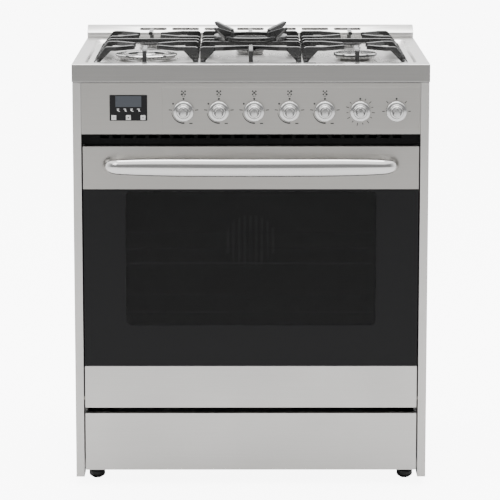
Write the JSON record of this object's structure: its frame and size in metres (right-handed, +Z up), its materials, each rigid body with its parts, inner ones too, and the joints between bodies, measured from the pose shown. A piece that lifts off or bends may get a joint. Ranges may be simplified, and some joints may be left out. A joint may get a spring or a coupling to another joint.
{
  "type": "freestanding gas range",
  "caption": "Freestanding gas range: burners under cast-iron pan supports, a row of knobs, bowed door handle, drop-down glazed oven door and a storage drawer below.",
  "frame": {"origin": "centre of the bounding box's underside, on the floor", "axes": "+X to the right seen from the front, +Y to the wall behind, +Z up"},
  "size_m": [0.76, 0.695, 0.974],
  "materials": {
    "stainless": "brushed, fine horizontal grain",
    "galvanised": "matt grey",
    "zinc_plated": "dull zinc plate",
    "enamel_dark": "glossy vitreous enamel, faint speckle",
    "seal": "matt heat-resistant seal",
    "wool": "mineral wool",
    "chrome_wire": "chromed wire",
    "burner_metal": "cast, satin",
    "cap_enamel": "black enamel, satin",
    "lamp_glass": "moulded glass",
    "clear_glass": "clear",
    "black_glass": "black, tinted window",
    "display_lens": "black lens",
    "black_plastic": "satin black",
    "button_plastic": "pale grey satin",
    "foot_plastic": "black",
    "spark_ceramic": "white ceramic",
    "polished_steel": "polished",
    "satin_knob": "satin chrome",
    "iron": "matt cast iron, fine pitting"
  },
  "bodies": {
    "cabinet": {"side_panel_left": "stainless", "side_panel_right": "stainless", "chassis": "galvanised", "back_panel": "galvanised", "back_screws": "zinc_plated", "face_frame": "enamel_dark", "door_gasket": "seal", "hinge_pins": "zinc_plated", "oven_liner": "enamel_dark", "insulation": "wool", "rack_supports": "chrome_wire", "oven_burners": "burner_metal", "fan_cover": "enamel_dark", "fan_motor": "galvanised", "oven_lamp": "lamp_glass", "control_panel": "stainless", "vent_grille": "black_plastic", "display_housing": "black_plastic", "display_glass": "display_lens", "control_valves": "zinc_plated", "gas_manifold": "burner_metal", "gas_inlet": "zinc_plated", "cord_gland": "black_plastic", "drawer_rails": "galvanised", "cooktop": "stainless", "rear_trim": "stainless", "burner_bases": "burner_metal", "burner_heads": "burner_metal", "burner_caps": "cap_enamel", "igniters": "spark_ceramic"},
    "door": {"door_top_band": "stainless", "door_bottom_band": "stainless", "door_outer_glass": "black_glass", "door_frame": "galvanised", "door_inner_panel": "enamel_dark", "door_inner_glass": "clear_glass", "door_handle": "polished_steel"},
    "drawer": {"drawer_front": "stainless", "drawer_tray": "galvanised"},
    "fan": {"convection_fan": "burner_metal"},
    "shelf_upper": {"oven_rack_upper": "chrome_wire"},
    "shelf_lower": {"oven_rack_lower": "chrome_wire"},
    "pan_support_left": {"grate_left": "iron"},
    "pan_support_centre": {"grate_centre": "iron"},
    "pan_support_right": {"grate_right": "iron"},
    "wok_support": {"wok_ring": "iron"},
    "knob_1": {"knob_1": "satin_knob"},
    "knob_2": {"knob_2": "satin_knob"},
    "knob_3": {"knob_3": "satin_knob"},
    "knob_4": {"knob_4": "satin_knob"},
    "knob_5": {"knob_5": "satin_knob"},
    "knob_6": {"knob_6": "satin_knob"},
    "knob_7": {"knob_7": "satin_knob"},
    "button_1": {"button_1": "button_plastic"},
    "button_2": {"button_2": "button_plastic"},
    "button_3": {"button_3": "button_plastic"},
    "foot_front_left": {"foot_front_left": "foot_plastic"},
    "foot_front_right": {"foot_front_right": "foot_plastic"},
    "foot_back_left": {"foot_back_left": "foot_plastic"},
    "foot_back_right": {"foot_back_right": "foot_plastic"}
  },
  "joints": [
    {"name": "door_hinge", "type": "hinge", "parent": "cabinet", "child": "door", "pos_m": [0, -0.2725, 0.188], "axis": [1, 0, 0], "range_deg": [0, 90], "stiffness_Nm_per_rad": 22, "springref_deg": -11.46},
    {"name": "drawer_slide", "type": "slide", "parent": "cabinet", "child": "drawer", "axis": [0, -1, 0], "range_m": [0, 0.35]},
    {"name": "fan_spin", "type": "hinge", "parent": "cabinet", "child": "fan", "pos_m": [0, 0.2, 0.455], "axis": [0, 1, 0], "continuous": true},
    {"name": "shelf_upper_slide", "type": "slide", "parent": "cabinet", "child": "shelf_upper", "axis": [0, -1, 0], "range_m": [0, 0.301]},
    {"name": "shelf_lower_slide", "type": "slide", "parent": "cabinet", "child": "shelf_lower", "axis": [0, -1, 0], "range_m": [0, 0.151]},
    {"name": "pan_support_left_lift", "type": "slide", "parent": "cabinet", "child": "pan_support_left", "axis": [0, 0, 1], "range_m": [0, 0.12]},
    {"name": "pan_support_centre_lift", "type": "slide", "parent": "cabinet", "child": "pan_support_centre", "axis": [0, 0, 1], "range_m": [0, 0.12]},
    {"name": "pan_support_right_lift", "type": "slide", "parent": "cabinet", "child": "pan_support_right", "axis": [0, 0, 1], "range_m": [0, 0.12]},
    {"name": "wok_support_lift", "type": "slide", "parent": "pan_support_centre", "child": "wok_support", "axis": [0, 0, 1], "range_m": [0, 0.1]},
    {"name": "knob_1_turn", "type": "hinge", "parent": "cabinet", "child": "knob_1", "pos_m": [-0.143, -0.3, 0.815], "axis": [0, -1, 0], "range_deg": [0, 210]},
    {"name": "knob_2_turn", "type": "hinge", "parent": "cabinet", "child": "knob_2", "pos_m": [-0.068, -0.3, 0.815], "axis": [0, -1, 0], "range_deg": [0, 210]},
    {"name": "knob_3_turn", "type": "hinge", "parent": "cabinet", "child": "knob_3", "pos_m": [0.007, -0.3, 0.815], "axis": [0, -1, 0], "range_deg": [0, 210]},
    {"name": "knob_4_turn", "type": "hinge", "parent": "cabinet", "child": "knob_4", "pos_m": [0.082, -0.3, 0.815], "axis": [0, -1, 0], "range_deg": [0, 210]},
    {"name": "knob_5_turn", "type": "hinge", "parent": "cabinet", "child": "knob_5", "pos_m": [0.157, -0.3, 0.815], "axis": [0, -1, 0], "range_deg": [0, 210]},
    {"name": "knob_6_turn", "type": "hinge", "parent": "cabinet", "child": "knob_6", "pos_m": [0.232, -0.3, 0.815], "axis": [0, -1, 0], "range_deg": [0, 270]},
    {"name": "knob_7_turn", "type": "hinge", "parent": "cabinet", "child": "knob_7", "pos_m": [0.309, -0.3, 0.815], "axis": [0, -1, 0], "range_deg": [-90, 90]},
    {"name": "button_1_press", "type": "slide", "parent": "cabinet", "child": "button_1", "axis": [0, 1, 0], "range_m": [0, 0.0015], "stiffness_N_per_m": 400, "springref_m": -0.0005},
    {"name": "button_2_press", "type": "slide", "parent": "cabinet", "child": "button_2", "axis": [0, 1, 0], "range_m": [0, 0.0015], "stiffness_N_per_m": 400, "springref_m": -0.0005},
    {"name": "button_3_press", "type": "slide", "parent": "cabinet", "child": "button_3", "axis": [0, 1, 0], "range_m": [0, 0.0015], "stiffness_N_per_m": 400, "springref_m": -0.0005},
    {"name": "foot_front_left_turn", "type": "hinge", "parent": "cabinet", "child": "foot_front_left", "pos_m": [-0.337, -0.2265, 0.02], "axis": [0, 0, 1], "continuous": true},
    {"name": "foot_front_right_turn", "type": "hinge", "parent": "cabinet", "child": "foot_front_right", "pos_m": [0.337, -0.2265, 0.02], "axis": [0, 0, 1], "continuous": true},
    {"name": "foot_back_left_turn", "type": "hinge", "parent": "cabinet", "child": "foot_back_left", "pos_m": [-0.337, 0.2875, 0.02], "axis": [0, 0, 1], "continuous": true},
    {"name": "foot_back_right_turn", "type": "hinge", "parent": "cabinet", "child": "foot_back_right", "pos_m": [0.337, 0.2875, 0.02], "axis": [0, 0, 1], "continuous": true}
  ],
  "couplings": [
    {"joint": "shelf_upper_slide", "follows": "door_hinge", "m_per_rad": 0.19099},
    {"joint": "shelf_lower_slide", "follows": "door_hinge", "m_per_rad": 0.09549}
  ]
}
